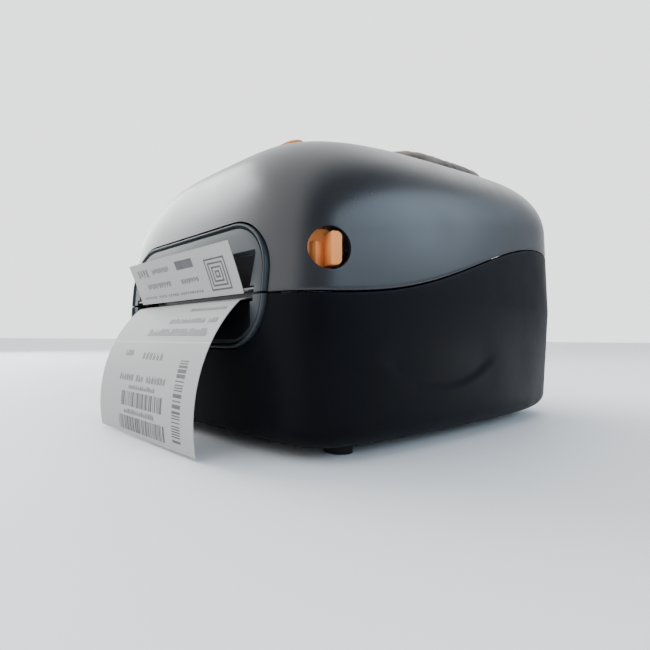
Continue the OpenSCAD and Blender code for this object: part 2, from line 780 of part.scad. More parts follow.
module spindle_core(d, z, x_far) {
    at(d, z) {
        ring_x(-58, 58, 8, 3);
        rod_x(-63, x_far, 5);
    }
}

module supply_core() { color("#e8e6df") spindle_core(supply_d, supply_z, 63); }

module supply_ribbon() {
    color("#141416") at(supply_d, supply_z) ring_x(-ribbon_w / 2, ribbon_w / 2, 22, 8);
}

module takeup_core() { color("#e8e6df") spindle_core(takeup_at[0], takeup_at[1], gear_x + 5); }

module takeup_ribbon() {
    color("#141416") at(takeup_at[0], takeup_at[1]) ring_x(-ribbon_w / 2, ribbon_w / 2, 12, 8);
}

module takeup_gear() {
    color("#e8e6df") at(takeup_at[0], takeup_at[1]) gear_x(gear_x, gear_x + 4, takeup_teeth, takeup_first, 5);
}

module ribbon_gear() {
    color("#e8e6df") at(ribbon_d, ribbon_z) gear_x(gear_x, gear_x + 4, ribbon_teeth, ribbon_first, 2.05);
}

lower_case();
lower_bezel();
rubber_feet();
base_hinges();
hinge_pins();
media_deck();
side_frame_left();
side_frame_right();
latch_catches();
platen_bushes();
guide_bar();
sensor_rail();
stepper_motor();
main_board();
power_inlet();
usb_socket();
switch_housing();
case_screws();
label_web();
platen_rubber();
platen_shaft();
platen_gear();
idler_gear();
motor_pinion();
gap_sensor();
roll_core();
label_roll();
roll_holder_left();
roll_holder_right();
holder_pinion();
power_rocker();
top_cover();
cover_window();
upper_bezel();
tear_bar();
cover_hinges();
ribbon_frame_left();
ribbon_frame_right();
head_bracket();
cover_board();
led_lenses();
printed_slip();
ribbon_film();
head_cable();
latch_left();
latch_right();
feed_button();
print_head();
head_springs();
supply_core();
supply_ribbon();
takeup_core();
takeup_ribbon();
takeup_gear();
ribbon_gear();
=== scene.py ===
import math
import random

import bmesh
import bpy
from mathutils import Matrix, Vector, noise


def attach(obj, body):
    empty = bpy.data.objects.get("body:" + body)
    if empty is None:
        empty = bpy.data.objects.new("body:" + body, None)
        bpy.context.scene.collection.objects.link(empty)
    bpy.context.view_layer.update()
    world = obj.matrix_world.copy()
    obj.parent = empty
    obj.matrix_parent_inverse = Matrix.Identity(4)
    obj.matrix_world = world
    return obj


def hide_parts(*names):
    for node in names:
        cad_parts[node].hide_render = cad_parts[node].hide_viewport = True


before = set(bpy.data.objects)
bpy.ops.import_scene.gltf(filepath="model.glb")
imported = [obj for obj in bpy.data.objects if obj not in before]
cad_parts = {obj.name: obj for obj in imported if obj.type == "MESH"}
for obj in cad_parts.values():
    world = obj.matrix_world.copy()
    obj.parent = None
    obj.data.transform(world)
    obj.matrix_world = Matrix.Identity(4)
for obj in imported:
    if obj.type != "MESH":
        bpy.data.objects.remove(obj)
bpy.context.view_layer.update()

# Sizes are in millimetres, and the finished points are turned into metres in made().
front_y, case_deep, wall = -129.3, 284.0, 2.6
half_widths = 96, 109.6, 107
crown_heights = 164, 172, 188
shoulder_front, shoulder_rise = 100, 42
part_front, part_rise, part_flat, part_run = 76, 42, 15, 220
foot_high, bottom_round, part_gap = 5, 11, 0.6
wall_foot = foot_high + bottom_round
wall_power, bottom_power = 7, 5.5
fine = 40
around = 8 * fine


def cosd(a):
    return math.cos(math.radians(a))


def sind(a):
    return math.sin(math.radians(a))


def clamp01(t):
    return min(1.0, max(0.0, t))


def bow(t, start, middle, end):
    """A parabola through three values, at 0, a half and 1."""
    return start * (1 - t) * (1 - 2 * t) + 4 * middle * t * (1 - t) + end * t * (2 * t - 1)


def half_width(y):
    return bow((y - front_y) / case_deep, *half_widths)


def crown_height(y):
    return bow((y - front_y) / case_deep, *crown_heights)


def shoulder_height(y):
    return shoulder_front + shoulder_rise * (y - front_y) / case_deep


def side_lean(y):
    return 1.5 * (shoulder_height(y) - part_front) / 40


def parting_height(y):
    """The parting line rises from the front to the rear in one long S."""
    return part_front + part_rise * (1 - cosd(180 * clamp01((y - front_y - part_flat) / part_run))) / 2


def corner_point(power, step):
    """A point of a quarter of a rounded square, from the side at step 0 to the end at 2 * fine."""
    far = step > fine
    s = 0.5 ** (1 / power) * sind(90 * (2 * fine - step if far else step) / fine)
    c = (1 - s ** power) ** (1 / power)
    return (s, c) if far else (c, s)


def plan_point(k, inset, front, rear, front_power, rear_power):
    """Point k of the plan, from the front middle round by the right, with its ends cut back."""
    if k > around / 2:
        x, y = plan_point(around - k, inset, front, rear, front_power, rear_power)
        return -x, y
    ahead = k < 2 * fine
    u = corner_point(front_power, 2 * fine - k) if ahead else corner_point(rear_power, k - 2 * fine)
    y0, y1 = front_y + front, front_y + case_deep - rear
    y = (y0 + y1) / 2 + (-1 if ahead else 1) * u[1] * (y1 - y0) / 2
    return (half_width(y) - inset) * u[0], y


def wall_point(k, z, inset):
    """The walls draw in towards the foot, lean back a little above the parting, and end in a round."""
    down = clamp01((part_front - z) / (part_front - foot_high))
    up = max(0, z - part_front) / 40
    low = max(0, wall_foot - z)
    r = bottom_round - math.sqrt(bottom_round ** 2 - low * low) + inset
    x, y = plan_point(k, 3 * down + 1.5 * up + r, 4.5 * down + 4 * up + r, 3 * down + up + r,
                      wall_power + bottom_power * down, wall_power)
    return x, y, z


def parting_point(k, inset, off):
    z1 = parting_height(wall_point(k, part_front, inset)[1]) + off
    z2 = parting_height(wall_point(k, z1, inset)[1]) + off
    return wall_point(k, z2, inset)


def ring(point, *words):
    return [point(k, *words) for k in range(around)]


def lower_mid(k, inset, share):
    top = parting_point(k, inset, -part_gap / 2)[2]
    return wall_point(k, wall_foot + (top - wall_foot) * share, inset)


recess_y, recess_z, recess_radius, recess_deep = -34.3, 133.6, 104, 1.2
lip_wide, recess_high, recess_turn, turn_fade = 1.6, 26, 33, 9


def finger_recess(p):
    """Presses the outside of the tub in above an arc-shaped lip."""
    x, y, z = p
    if abs(x) < 80:
        return p
    dy, dz = y - recess_y, z - recess_z
    inside = recess_radius - math.hypot(dy, dz)
    turn = abs(math.degrees(math.atan2(dy, -dz)))
    upwards = (1 - clamp01((inside - lip_wide) / recess_high)) ** 1.5
    deep = clamp01(inside / lip_wide) * upwards * clamp01((recess_turn - turn) / turn_fade)
    return x - math.copysign(recess_deep * deep, x), y, z


def loft(rings, ends="flat"):
    """Points and faces of a closed skin through rings, its ends flat or closed by strips across."""
    n, last = len(rings[0]), len(rings) - 1
    points = [p for r in rings for p in r]
    faces = [(i * n + k, i * n + (k + 1) % n, (i + 1) * n + (k + 1) % n, (i + 1) * n + k)
             for i in range(last) for k in range(n)]
    for base, turn in ((0, -1), (last * n, 1)):
        if ends == "flat":
            faces.append(tuple(base + k for k in range(n))[::turn])
        else:
            for k in range(n // 2):
                strip = [k, k + 1, n - k - 1, (n - k) % n]
                if k == 0:
                    strip = [0, 1, n - 1]
                if k == n // 2 - 1:
                    strip = [k, k + 1, n - k]
                faces.append(tuple(base + j for j in strip)[::turn])
    return points, faces


def made(name, points, faces):
    """A mesh object from points in millimetres."""
    mesh = bpy.data.meshes.new(name)
    mesh.from_pydata([(x / 1000, y / 1000, z / 1000) for x, y, z in points], [], faces)
    body = bpy.data.objects.new(name, mesh)
    bpy.context.scene.collection.objects.link(body)
    return body


def joined(*solids):
    """Several solids as one list of points and one of faces."""
    points, faces = [], []
    for more_points, more_faces in solids:
        faces += [tuple(len(points) + i for i in f) for f in more_faces]
        points += more_points
    return points, faces


def block(x0, x1, y0, y1, z0, z1):
    return loft([[(x0, y0, z), (x1, y0, z), (x1, y1, z), (x0, y1, z)] for z in (z0, z1)])


def across(x0, x1, profile):
    """A prism along X from a profile of depth and height."""
    return loft([[(x, front_y + d, z) for d, z in profile] for x in (x0, x1)])


def outward(body):
    form = bmesh.new()
    form.from_mesh(body.data)
    bmesh.ops.recalc_face_normals(form, faces=form.faces)
    form.to_mesh(body.data)
    form.free()


def applied(body):
    """Turns the modifiers of a piece into its mesh."""
    shapes = bpy.context.evaluated_depsgraph_get()
    mesh = bpy.data.meshes.new_from_object(body.evaluated_get(shapes))
    body.modifiers.clear()
    body.data = mesh


def cut(body, *solids):
    """Takes each solid away from the piece."""
    outward(body)
    for solid in solids:
        tool = made("cutting_tool", *solid)
        outward(tool)
        step = body.modifiers.new("cut", "BOOLEAN")
        step.operation, step.solver, step.object = "DIFFERENCE", "EXACT", tool
        applied(body)
        bpy.data.objects.remove(tool)


def bevelled(body, size, segments=2, angle=40):
    outward(body)
    step = body.modifiers.new("edge", "BEVEL")
    step.width, step.segments, step.limit_method = size / 1000, segments, "ANGLE"
    step.angle_limit = math.radians(angle)
    applied(body)


def shaded(body, sharp=32):
    """Smooth faces, with a sharp edge wherever two faces turn by more than the angle."""
    form = bmesh.new()
    form.from_mesh(body.data)
    bmesh.ops.remove_doubles(form, verts=form.verts, dist=1e-6)
    bmesh.ops.recalc_face_normals(form, faces=form.faces)
    for f in form.faces:
        f.smooth = True
    for e in form.edges:
        e.smooth = len(e.link_faces) == 2 and e.calc_face_angle(0) < math.radians(sharp)
    form.to_mesh(body.data)
    form.free()


def surface(name, colour, rough, spread=0.15, slow=30, grain=1500, height=0.15, metal=0.0,
            specular=0.5, see_through=0.0):
    """A finish: tones that wander over the piece, roughness with them, and a fine grain."""
    skin = bpy.data.materials.new(name)
    skin.use_nodes = True
    nodes, links = skin.node_tree.nodes, skin.node_tree.links
    shader = nodes["Principled BSDF"]
    shader.inputs["Metallic"].default_value = metal
    shader.inputs["Specular IOR Level"].default_value = specular
    shader.inputs["Transmission Weight"].default_value = see_through
    least, most = 0.3, 0.7
    place = nodes.new("ShaderNodeTexCoord")
    patches = nodes.new("ShaderNodeTexNoise")
    patches.inputs["Scale"].default_value = slow
    patches.inputs["Detail"].default_value = 5
    links.new(place.outputs["Object"], patches.inputs["Vector"])
    tones = nodes.new("ShaderNodeValToRGB")
    for stop, at, tone in zip(tones.color_ramp.elements, (least, most), (1 - spread, 1 + spread)):
        stop.position = at
        stop.color = (*[min(1, c * tone) for c in colour], 1)
    links.new(patches.outputs["Fac"], tones.inputs["Fac"])
    links.new(tones.outputs["Color"], shader.inputs["Base Color"])
    wear = nodes.new("ShaderNodeMapRange")
    wear.inputs["From Min"].default_value = least
    wear.inputs["From Max"].default_value = most
    wear.inputs["To Min"].default_value = rough * 0.88
    wear.inputs["To Max"].default_value = min(1, rough * 1.12)
    links.new(patches.outputs["Fac"], wear.inputs["Value"])
    links.new(wear.outputs["Result"], shader.inputs["Roughness"])
    grains = nodes.new("ShaderNodeTexNoise")
    grains.inputs["Scale"].default_value = grain
    grains.inputs["Detail"].default_value = 2
    links.new(place.outputs["Object"], grains.inputs["Vector"])
    relief = nodes.new("ShaderNodeBump")
    relief.inputs["Strength"].default_value = height
    relief.inputs["Distance"].default_value = 0.0002
    links.new(grains.outputs["Fac"], relief.inputs["Height"])
    links.new(relief.outputs["Normal"], shader.inputs["Normal"])
    return skin


def dress(body, skin, rides, slot_name, *stands_for):
    """Gives a piece its finish, the body that it moves with, and the nodes that it stands for."""
    body.data.materials.clear()
    body.data.materials.append(skin)
    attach(body, rides)
    if stands_for:
        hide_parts(*stands_for)


def coat(skin, *node_names):
    """Gives the mechanism's own solids their finish."""
    for name in node_names:
        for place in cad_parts[name].material_slots:
            place.material = skin


bezel_x, bezel_z, bezel_flat, bezel_round = 40.5, 81.5, 5, 27


def bezel_outline(grow, corner_steps=14):
    """Corners of the rounded front opening as x and height, round by the right."""
    low, high = bezel_z - bezel_flat, bezel_z + bezel_flat
    corners = ((bezel_x, high, 0), (-bezel_x, high, 90), (-bezel_x, low, 180), (bezel_x, low, 270))
    turns = [90 * i / corner_steps for i in range(corner_steps + 1)]
    return [(x + (bezel_round + grow) * cosd(a + b), z + (bezel_round + grow) * sind(a + b))
            for x, z, a in corners for b in turns]


def bezel_solid(d0, d1, grow):
    return loft([[(x, front_y + d, z) for x, z in bezel_outline(grow)] for d in (d0, d1)])


def circle(radius, sides):
    return [(radius * cosd(360 * i / sides), radius * sind(360 * i / sides)) for i in range(sides)]


def rod_x(x0, x1, depth, height, radius):
    return loft([[(x, front_y + depth + a, height + b) for a, b in circle(radius, 48)] for x in (x0, x1)])


def standing_rod(x, depth, z0, z1, radius):
    return loft([[(x + a, front_y + depth + b, z) for a, b in circle(radius, 32)] for z in (z0, z1)])


rows = 44
outside = [ring(wall_point, foot_high + bottom_round * (1 - cosd(a)), 0) for a in range(0, 91, 10)]
outside += [ring(lower_mid, 0, i / rows) for i in range(1, rows)]
outside = [[finger_recess(p) for p in r] for r in outside]
edge_round = (0, 1.1), (0.15, 0.6), (0.45, 0.37), (0.9, 0.3)
lip = [ring(parting_point, w, -off) for w, off in edge_round + ((wall, 0.3),)]
inside = [ring(lower_mid, wall, f) for f in (0.8, 0.6, 0.4, 0.2)]
inside += [ring(wall_point, z, wall) for z in (13, 9.6, 8)]
tub = made("lower_case_tub", *loft(outside + lip + inside))
rear_wall = front_y + 272, front_y + 292
inlet = block(-86, -58, *rear_wall, 26, 46)
switch = block(-50, -36, *rear_wall, 27, 47)
data_socket = block(40, 53, *rear_wall, 24, 36)
fan_fold_slot = block(-57, 57, *rear_wall, 84, 90)
screw_holes = [standing_rod(66 * side, depth, 4, 10, 1.7) for side in (-1, 1) for depth in (34, 250)]
gear_relief = rod_x(67.4, 72.6, 18, 66.4, 13.6)
rear_holes = joined(inlet, switch, data_socket, fan_fold_slot, *screw_holes)
cut(tub, bezel_solid(-4, 12, 0.3), rear_holes, gear_relief)
shaded(tub)
case_black = surface("case_black", (0.003, 0.0032, 0.0047), 0.45, spread=0.2, specular=0.05)
dress(tub, case_black, "case", "case_plastic", "lower_case")

# ---- fittings of the base ----
# Rubber feet pushed over pegs, steel screws, the stamped side frames that carry the rollers, the
# nylon bushes and gears, the stepper motor, the board and its sockets, all fixed in the tub.
foot_rubber = surface("foot_rubber", (0.015, 0.015, 0.016), 0.85, grain=2500, height=0.3, specular=0.25)
inner_black = surface("inner_black", (0.03, 0.032, 0.036), 0.55)
zinc = surface("zinc_sheet", (0.42, 0.43, 0.44), 0.38, spread=0.1, slow=90, metal=0.9)
steel = surface("bright_steel", (0.6, 0.61, 0.63), 0.24, spread=0.08, slow=120, metal=1.0)
nylon = surface("natural_nylon", (0.76, 0.74, 0.67), 0.45, spread=0.06)
green_board = surface("green_board", (0.02, 0.13, 0.06), 0.35, slow=200, spread=0.3)
coat(foot_rubber, "rubber_feet")
coat(steel, "case_screws", "hinge_pins", "guide_bar", "sensor_rail", "usb_socket", "platen_shaft")
coat(zinc, "side_frame_left", "side_frame_right", "latch_catches", "stepper_motor")
coat(inner_black, "base_hinges", "media_deck", "gap_sensor")
coat(nylon, "platen_bushes", "platen_gear", "idler_gear", "holder_pinion")
coat(green_board, "main_board")
coat(surface("brass", (0.62, 0.45, 0.17), 0.3, metal=1.0, slow=150), "motor_pinion")
coat(surface("platen_rubber", (0.035, 0.035, 0.037), 0.7, grain=3000, height=0.25), "platen_rubber")
coat(surface("socket_black", (0.014, 0.014, 0.016), 0.35), "power_inlet", "switch_housing", "power_rocker")
coat(surface("holder_grey", (0.045, 0.047, 0.053), 0.5), "roll_holder_left", "roll_holder_right")
coat(surface("core_card", (0.42, 0.31, 0.19), 0.9, grain=700, height=0.5, slow=80), "roll_core")
coat(surface("rolled_paper", (0.8, 0.8, 0.77), 0.8, spread=0.05, grain=1800, height=0.4), "label_roll")

# ---- front bezel, lower half ----
# A satin grey moulding let into the case: a raised bead runs round its edge, and its face falls
# back to the slot where the labels come out.
bead = ((0.5, 0.4), (0.7, -0.2), (1.1, -0.6), (1.6, -0.6), (2, -0.2), (2.2, 0.6), (2.5, 1),
        (2.9, 1), (3.2, 0.45), (3.8, 0.3), (7, 0.3), (14, 0.3))


def bezel_plate(back):
    """A closed plate: its back edge, then the bead, then the face."""
    profile = [(bead[0][0], back)] + list(bead)
    return loft([[(x, front_y + d, z) for x, z in bezel_outline(-inset)] for inset, d in profile])


def pocket(levels, rim):
    """A cutter that opens forwards: half width and depth at each height, kept inside the bead."""
    rings = []
    for (z0, w0, d0), (z1, w1, d1) in zip(levels, levels[1:]):
        steps = max(1, round(abs(z1 - z0) / 1.5))
        for i in range(steps + (z1 == levels[-1][0])):
            t = i / steps
            z, w, d = z0 + (z1 - z0) * t, w0 + (w1 - w0) * t, d0 + (d1 - d0) * t
            drop = max(0, abs(z - bezel_z) - bezel_flat)
            w = min(w, bezel_x + math.sqrt(max(0.01, (bezel_round - rim) ** 2 - drop * drop)))
            near, deep = front_y - 6, front_y + d
            rings.append([(-w, near, z), (w, near, z), (w, deep, z), (-w, deep, z)])
    return loft(rings)


lower_plate = made("lower_bezel_plate", *bezel_plate(7))
bezel_space = front_y - 6, front_y + 12
pocket_rim = 4.2
cut(lower_plate, block(-80, 80, *bezel_space, part_front - part_gap / 2, 130),
    pocket([(53.4, 54, 0.35), (54.6, 58, 0.7), (67, 57, 4.2), (77, 57, 6)], pocket_rim),
    across(-59, 59, [(-3, 72.6), (8, 72.6), (8, 80), (-3, 80)]))
shaded(lower_plate, 28)
bezel_grey = surface("bezel_grey", (0.022, 0.029, 0.034), 0.36, spread=0.14, specular=0.36)
# Near-black colour for the pocket floors: painted shade, where the recess lies in shadow.
pocket_painted_shade = surface("pocket_painted_shade", (0.006, 0.006, 0.008), 0.6, spread=0.2, specular=0.06, height=0.3)
dress(lower_plate, bezel_grey, "case", "bezel_plastic", "lower_bezel")


def paint_pocket_shade(plate):
    """Gives the front-facing floor of the pocket a near-black, dull colour: painted shade for the shadowed
    recess.
    """
    plate.data.materials.append(pocket_painted_shade)
    for f in plate.data.polygons:
        if f.normal.y < -0.8 and f.center.y * 1000 - front_y > 0.7 and abs(f.center.x) < 0.0605:
            f.material_index = 1


paint_pocket_shade(lower_plate)

# ---- label web and the printed strip that hangs from the slot ----
# Thermal label paper, 104 mm wide and 0.3 mm thick on its liner. It leaves the roll, turns under the
# guide bar, passes over the platen and hangs in a curve to the table.
paper_thick, label_half = 0.3, 52
roll_depth, roll_height, roll_radius = 188, 80, 50
hang_front, hang_depth_radius, hang_height_radius, hang_height = 27.94, 68, 72, 16.6
web_under = [(roll_depth + roll_radius * cosd(a), roll_height + roll_radius * sind(a))
             for a in range(-84, -105, -5)]
web_under += [(50, 63.6), (32, 71), (22, 74.5), (14, 74.6), (6, 75.2)]
slot_at = len(web_under) - 1
web_under += [(paper_thick - hang_front + hang_depth_radius * (1 - cosd(a)),
               hang_height + hang_height_radius * sind(a)) for a in range(52, -13, -2)]


def raised(path, out):
    """The same path moved square to itself, towards its printed side."""
    moved = []
    for i, (d, z) in enumerate(path):
        (d0, z0), (d1, z1) = path[max(0, i - 1)], path[min(len(path) - 1, i + 1)]
        long = math.hypot(d1 - d0, z1 - z0)
        moved.append((d + out * ((z1 - z0) / long), z + out * (-(d1 - d0) / long)))
    return moved


def sheet(name, path, thick):
    """A thin band as wide as the labels along a path of depth and height."""
    columns = 13
    places = [-label_half + 2 * label_half * c / columns for c in range(columns + 1)]
    rings = []
    for (d0, z0), (d1, z1) in zip(path, raised(path, thick)):
        low = [(x, front_y + d0, z0) for x in places]
        rings.append(low + [(x, front_y + d1, z1) for x in places[::-1]])
    body = made(name, *loft(rings))
    shaded(body, 50)
    return body


def mark_rows(path, out, x0, x1, s0, s1):
    """Both ends of each row of a mark on a strip, between two distances along it."""
    line = raised(path, out)
    long = [0]
    for (d0, z0), (d1, z1) in zip(path, path[1:]):
        long.append(long[-1] + math.hypot(d1 - d0, z1 - z0))

    def at(s):
        i = max(j for j in range(len(long) - 1) if long[j] <= s or j == 0)
        t = (s - long[i]) / (long[i + 1] - long[i])
        (d0, z0), (d1, z1) = line[i], line[i + 1]
        return front_y + d0 + (d1 - d0) * t, z0 + (z1 - z0) * t

    steps = max(1, math.ceil((s1 - s0) / 1.5))
    cuts = sorted({s0 + (s1 - s0) * i / steps for i in range(steps + 1)} | {s for s in long if s0 < s < s1})
    return [[(x0, *at(s)), (x1, *at(s))] for s in cuts]


def marks(name, path, out, boxes):
    """Flat printed marks that lie just above a strip."""
    points, faces = [], []
    for x0, x1, s0, s1 in boxes:
        ends = [p for row in mark_rows(path, out, x0, x1, s0, s1) for p in row]
        first = len(points)
        points += ends
        faces += [(i, i + 1, i + 3, i + 2) for i in range(first, first + len(ends) - 2, 2)]
    return made(name, points, faces)


hanging = web_under[slot_at:]
web = sheet("label_web_paper", web_under, paper_thick)
label_paper = surface("label_paper", (0.37, 0.37, 0.362), 0.62, spread=0.03, slow=18, grain=2600, height=0.12,
                      specular=0.35)
dress(web, label_paper, "case", "label_paper", "label_web")

ink = random.Random(7)
boxes = []


def text_bars(x0, x1, s0, s1, wide, gap):
    """A row of upright bars in pairs, in place of a line of print."""
    x = x0
    while x + wide < x1:
        if ink.random() > 0.06:
            top = s0 + (s1 - s0) * ink.choice((0, 0, 0.2))
            boxes.append((x, x + wide * ink.uniform(0.3, 0.4), top, s1))
            boxes.append((x + wide * 0.6, x + wide, s0 + (s1 - s0) * ink.choice((0, 0.2, 0.4)), s1))
        x += wide + gap


def bar_row(x0, x1, s0, s1, along_x, thin):
    """Bars of a plain code, side by side along the row."""
    at, end = (x0, x1) if along_x else (s0, s1)
    while at < end:
        bar = ink.choice((1, 1, 2, 3)) * thin
        if at + bar > end:
            break
        boxes.append((at, at + bar, s0, s1) if along_x else (x0, x1, at, at + bar))
        at += bar + ink.choice((1, 1, 2)) * thin


for line in ((24, 50, 5.5, 7.4, 1.2, 0.6), (16, 49, 12, 14.4, 1.4, 0.6), (4, 48, 19.6, 23, 1.9, 0.7),
             (-12, 46, 26.4, 31, 2.6, 0.8)):
    text_bars(*line)
bar_row(33.5, 41, 44, 84, False, 0.62)
bar_row(-22, 24, 63.5, 71.5, True, 0.55)
bar_row(-25, 27, 77, 85, True, 0.55)
for line in ((-28, -18, 40, 43.5, 1.8, 0.7), (-6, 20, 41, 45, 2.2, 1.6), (-30, 26, 54, 57.5, 1.9, 1.0),
             (-14, 16, 59.5, 62, 1.6, 0.7), (-18, 16, 73, 75.6, 1.6, 0.7)):
    text_bars(*line)
ink_lift = 0.04
printing = marks("label_print", hanging, paper_thick + ink_lift, boxes)
shaded(printing, 50)
thermal_black = surface("thermal_black", (0.075, 0.075, 0.08), 0.6, spread=0.35, slow=160, grain=2500)
dress(printing, thermal_black, "case", "label_paper")
gap_line = marks("label_gap", hanging, paper_thick + 0.03, [(-label_half, label_half, 34.3, 35.0)])
shaded(gap_line, 50)
dress(gap_line, surface("liner_edge", (0.52, 0.52, 0.5), 0.7, spread=0.05), "case", "label_paper")

# ---- top cover ----
# The lid, moulded in the same black ABS but with a finer, glossier texture. It swings up about two
# hinges at the rear, and its front half of the bezel, latches and feed button travel with it.


def upper_mid(k, inset, share):
    low = parting_point(k, inset, part_gap / 2)[2]
    high = shoulder_height(wall_point(k, part_front, inset)[1])
    return wall_point(k, low + (high - low) * share, inset)


side_round, front_round, rear_round = 52, 44, 22


def shoulder_point(k, a, inset):
    """A point of the dome, from the top of the wall at 0 degrees to the crown at 90."""
    c, s = 1 - cosd(a), sind(a)
    x, y = plan_point(k, 0, 2.4 + inset + front_round * c, 1.6 + inset + rear_round * c,
                      wall_power - 2.5 * s, wall_power - 3 * s)
    span, foot = half_width(y), shoulder_height(y)
    reach = span - side_lean(y) - inset - side_round * c
    return x * reach / span, y, foot + (crown_height(y) - inset - foot) * s


latch_x, latch_depth, latch_z, latch_turn = 91, 18, 95.5, -26
button_x, button_depth, button_z, button_tilt = 36, 44, 165.1, 12


def latch_spot(solid, side):
    """From the latch's own frame, outwards along X, to its place on the cover."""
    points, faces = solid
    c, s = cosd(latch_turn), sind(latch_turn)
    return [((latch_x + (x * c - y * s)) * side, front_y + latch_depth + (x * s + y * c), latch_z + z)
            for x, y, z in points], faces


def button_spot(solid):
    """From the feed button's own frame, upwards along Z, to its place on the cover."""
    points, faces = solid
    c, s = cosd(button_tilt), sind(button_tilt)
    return [(button_x + x, front_y + button_depth + y * c - z * s, button_z + y * s + z * c)
            for x, y, z in points], faces


def stadium(long, wide, z0, z1, steps=16):
    """A block with round ends."""
    plan = []
    for side, start in ((1, -90), (-1, 90)):
        for a in [start + 180 * i / steps for i in range(steps + 1)]:
            plan.append((side * ((long - wide) / 2) + wide / 2 * cosd(a), wide / 2 * sind(a)))
    return loft([[(x, y, z) for x, y in plan] for z in (z0, z1)])


crown = [ring(shoulder_point, a, wall) for a in range(90, 0, -9)]
crown += [ring(upper_mid, wall, f) for f in (1, 0.66, 0.33)] + [ring(parting_point, wall, 0.3)]
crown += [ring(parting_point, w, off) for w, off in edge_round[::-1]]
crown += [ring(upper_mid, 0, i / 12) for i in range(1, 13)]
crown += [ring(shoulder_point, a, 0) for a in range(3, 91, 3)]
lid = made("top_cover_shell", *loft(crown, "strips"))
well = loft([[(x, a, b) for a, b in circle(9.8, 64)] for x in (-12, 8)])
key_hole = button_spot(stadium(24.8, 12.8, -8, 8))
lamp_holes = [button_spot(standing_rod(x, -front_y, -8, 8, 1.6)) for x in (-20, -26)]
window_hole = block(-60, 60, front_y + 124, front_y + 228, 150, 190)
hinge_gaps = [block(62 * s - 12.8, 62 * s + 12.8, front_y + 276, front_y + 296, 114, 128.1) for s in (-1, 1)]
cut(lid, bezel_solid(-4, 12, 0.3), joined(latch_spot(well, -1), latch_spot(well, 1)),
    joined(key_hole, *lamp_holes), joined(window_hole, *hinge_gaps))
shaded(lid)
cover_black = surface("cover_black", (0.011, 0.012, 0.015), 0.31, spread=0.16, specular=0.55)
dress(lid, cover_black, "cover", "cover_plastic", "top_cover")
coat(inner_black, "cover_hinges", "ribbon_frame_left", "ribbon_frame_right")
coat(zinc, "head_bracket")
coat(green_board, "cover_board")

# ---- front bezel, upper half, and the tear bar ----
# The same moulding as below, tilted back with the cover. A bright steel strip with fine teeth is set
# into its lower edge, so that a label can be torn off upwards.


bezel_lean = 5


def leaned(x, y, z):
    """A point of the plate after it leans back about its lower front edge."""
    y0, z0 = front_y + 0.4, part_front
    c, s = cosd(bezel_lean), sind(bezel_lean)
    return x, y0 + (y - y0) * c + (z - z0) * s, z0 - (y - y0) * s + (z - z0) * c


upper_plate = made("upper_bezel_plate", *bezel_plate(5.6))
cut(upper_plate, block(-80, 80, *bezel_space, 20, 76.9),
    pocket([(74, 56, 4.7), (76, 56, 4.6), (95.5, 59, 2.3), (97.5, 58.5, 0.35)], pocket_rim),
    across(-59.5, 59.5, [(-3, 74), (8, 74), (8, 80.1), (-3, 80.1)]))
shaded(upper_plate, 28)
dress(upper_plate, bezel_grey, "cover", "bezel_plastic", "upper_bezel")
paint_pocket_shade(upper_plate)
for corner in upper_plate.data.vertices:
    corner.co = [v / 1000 for v in leaned(*(corner.co * 1000))]

teeth, bar_half = 118, 59
bar_rings = []
for i in range(2 * teeth + 1):
    tip = 1.4 + (0.5 if i % 2 else 0)
    profile = [(tip, 78.4), (2.6, 77.9), (9, 78.6), (9, 79.4), (2.8, 79.3), (tip, 79.3)]
    bar_rings.append([(-bar_half + bar_half * i / teeth, front_y + d, z) for d, z in profile])
toothed = made("tear_bar_strip", *loft(bar_rings))
shaded(toothed, 20)
dress(toothed, steel, "cover", "bare_steel", "tear_bar")

# ---- window of the cover ----
# A thin domed sheet of smoked film over the opening above the roll, a little crumpled and dusty,
# held under the edge of the opening.


def top_height(x, y):
    """Height of the cover over a point of its plan."""
    c = min(1, (half_width(y) - side_lean(y) - abs(x)) / side_round)
    return shoulder_height(y) + (crown_height(y) - shoulder_height(y)) * math.sqrt(1 - (1 - c) ** 2)


window_x, window_y, window_depth, window_rise, window_round = 74, 176, 64, 10, 16
film_thick, deepest_fold = 1.2, 3.2


def fold(x, y):
    """How far a crease presses the film down."""
    crease = noise.fractal(Vector((x / 17, y / 23, 3.1)), 1.0, 2.0, 4)
    return abs(crease) * 1.6 + 0.6 * (1 + crease)


def dome_point(k, a, inset):
    c, s = 1 - cosd(a), sind(a)
    ux, uy = corner_point(5, abs(min(k, around - k) - 2 * fine))
    x = (-ux if k > around / 2 else ux) * (window_x - inset - window_round * c)
    y_side = 1 if 2 * fine < k < 6 * fine else -1
    y = front_y + window_y + y_side * uy * (window_depth - inset - window_round * c)
    return x, y, top_height(x, y) + 0.2 + (window_rise - inset) * s - min(fold(x, y) * s, deepest_fold)


def drawn_in(inset, share):
    """The crumpled top between the crown ring and the middle line."""
    return [(x * share, y, top_height(x * share, y) + 0.2 + window_rise - inset
             - min(fold(x * share, y), deepest_fold)) for x, y, z in ring(dome_point, 90, inset)]


shares = [1 - i / 12 for i in range(1, 12)]
dome = [drawn_in(film_thick, share) for share in shares[::-1]]
dome += [ring(dome_point, a, film_thick) for a in range(90, -1, -15)]
dome += [ring(dome_point, a, 0) for a in range(0, 91, 9)] + [drawn_in(0, share) for share in shares]
film = made("cover_window_film", *loft(dome, "strips"))
shaded(film, 60)
film_grey = surface("film_grey", (0.13, 0.1, 0.085), 0.5, spread=0.8, slow=75, grain=260, height=0.9,
                    specular=0.16)
dress(film, film_grey, "cover", "window_plastic", "cover_window")

